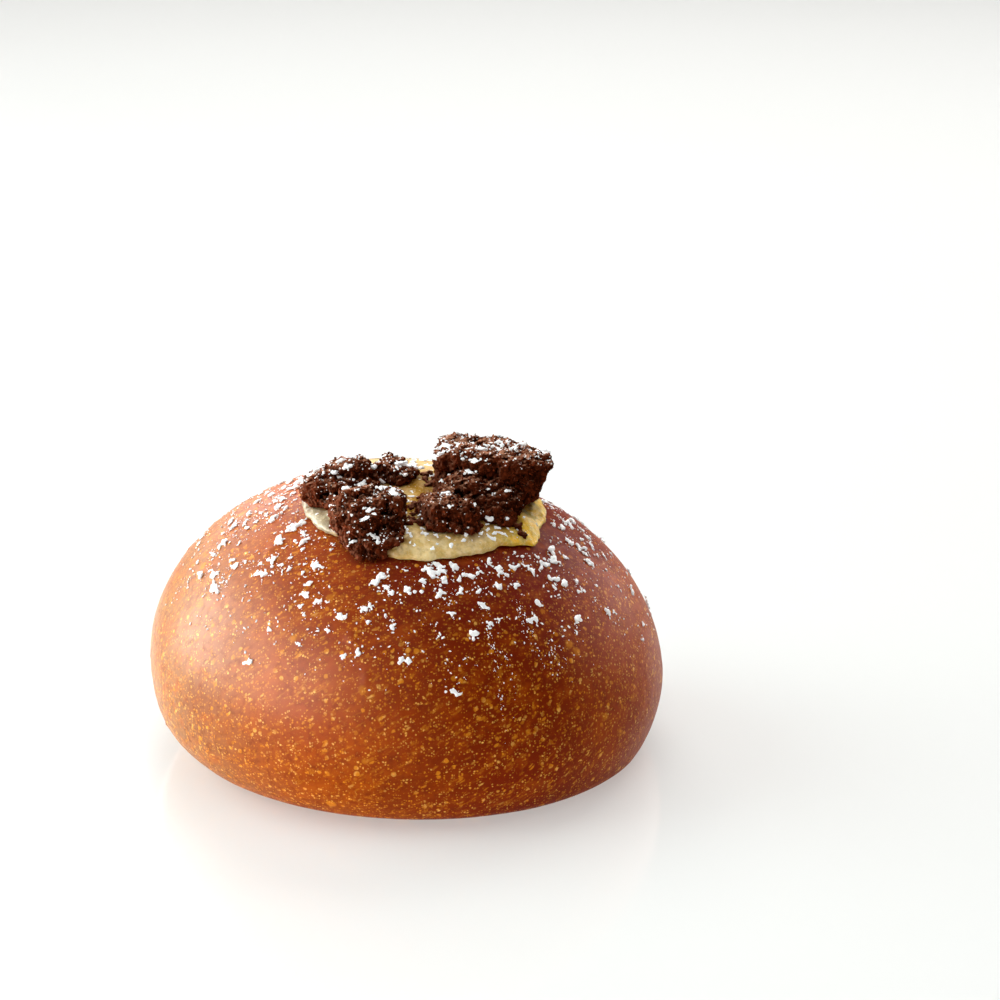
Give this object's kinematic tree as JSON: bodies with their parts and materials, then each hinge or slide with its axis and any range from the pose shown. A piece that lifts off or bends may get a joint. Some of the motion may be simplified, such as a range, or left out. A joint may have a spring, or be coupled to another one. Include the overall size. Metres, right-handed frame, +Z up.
{
  "type": "filled brioche bun",
  "caption": "Round glazed brioche with a custard-filled crown, chocolate crumb chunks resting on the custard and icing sugar over the top.",
  "frame": {"origin": "centre of the flat underside, below the middle of the girth", "axes": "+Z up out of the crown, -Y towards the front, +X to the right as seen from the front"},
  "size_m": [0.096, 0.0959, 0.0604],
  "materials": {
    "crust": "egg-washed brown crust with golden specks, satin",
    "custard": "baked custard, soft sheen",
    "chocolate_crumb": "dark chocolate crumb, matt and craggy"
  },
  "bodies": {
    "root": {"bun": "crust", "custard": "custard", "chunk_front_left": "chocolate_crumb", "chunk_back_left": "chocolate_crumb", "chunk_middle": "chocolate_crumb", "chunk_right": "chocolate_crumb"}
  },
  "joints": []
}
